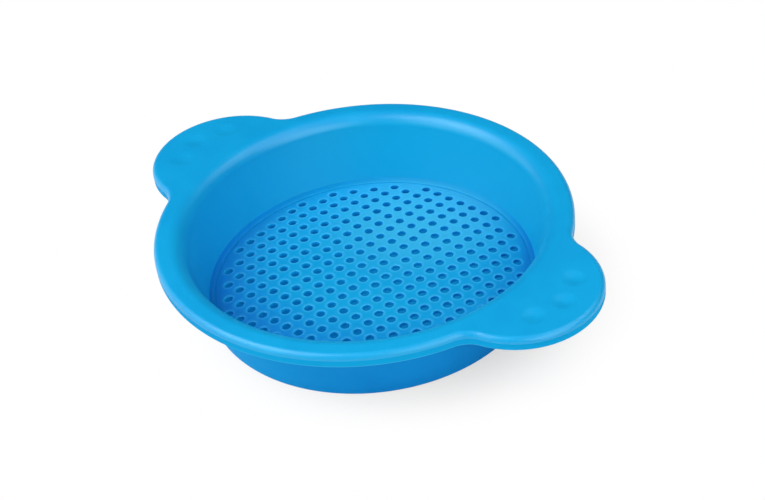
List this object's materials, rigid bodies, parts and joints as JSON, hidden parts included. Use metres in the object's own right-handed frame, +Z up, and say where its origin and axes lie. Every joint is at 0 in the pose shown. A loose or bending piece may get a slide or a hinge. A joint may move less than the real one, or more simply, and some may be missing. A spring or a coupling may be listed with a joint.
{
  "type": "sand sieve",
  "caption": "Round plastic sand sieve: shallow dish with a perforated domed floor, sloping wall, wide rolled rim and two rounded ear handles with finger dimples.",
  "frame": {"origin": "on the ground under the middle of the dish", "axes": "+X through the middle of the right handle, +Y across the handles towards the back rim, +Z up out of the dish"},
  "size_m": [0.272, 0.21, 0.0432],
  "materials": {
    "blue_plastic": "satin moulded polypropylene, one blue right through"
  },
  "bodies": {
    "root": {"sieve_plate": "blue_plastic", "floor_corner": "blue_plastic", "foot_ring": "blue_plastic", "side_wall": "blue_plastic", "mouth_lip": "blue_plastic", "front_rim": "blue_plastic", "back_rim": "blue_plastic", "front_rim_edge": "blue_plastic", "back_rim_edge": "blue_plastic", "right_handle": "blue_plastic", "left_handle": "blue_plastic", "right_handle_edge": "blue_plastic", "left_handle_edge": "blue_plastic"}
  },
  "joints": []
}
